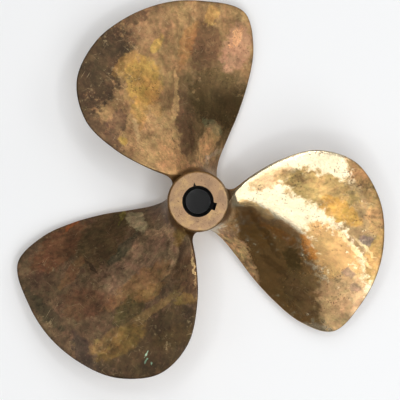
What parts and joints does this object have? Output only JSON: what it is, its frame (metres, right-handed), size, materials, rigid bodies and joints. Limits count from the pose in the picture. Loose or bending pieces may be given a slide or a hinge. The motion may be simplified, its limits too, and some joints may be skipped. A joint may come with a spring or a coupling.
{
  "type": "ship propeller",
  "caption": "Fixed-pitch boat propeller cast in bronze in one piece, with broad skewed blades and a keyed taper bore.",
  "frame": {"origin": "on the shaft axis at the hub's aft face, which the propeller rests on", "axes": "+Z forward along the shaft, towards the wide end of the tapered bore; +X through the keyway and along the first blade"},
  "size_m": [0.3698, 0.414, 0.0762],
  "materials": {
    "cast_bronze": "cast manganese bronze, ground by hand, tarnished brown with polished patches"
  },
  "bodies": {
    "root": {"propeller": "cast_bronze"}
  },
  "joints": []
}
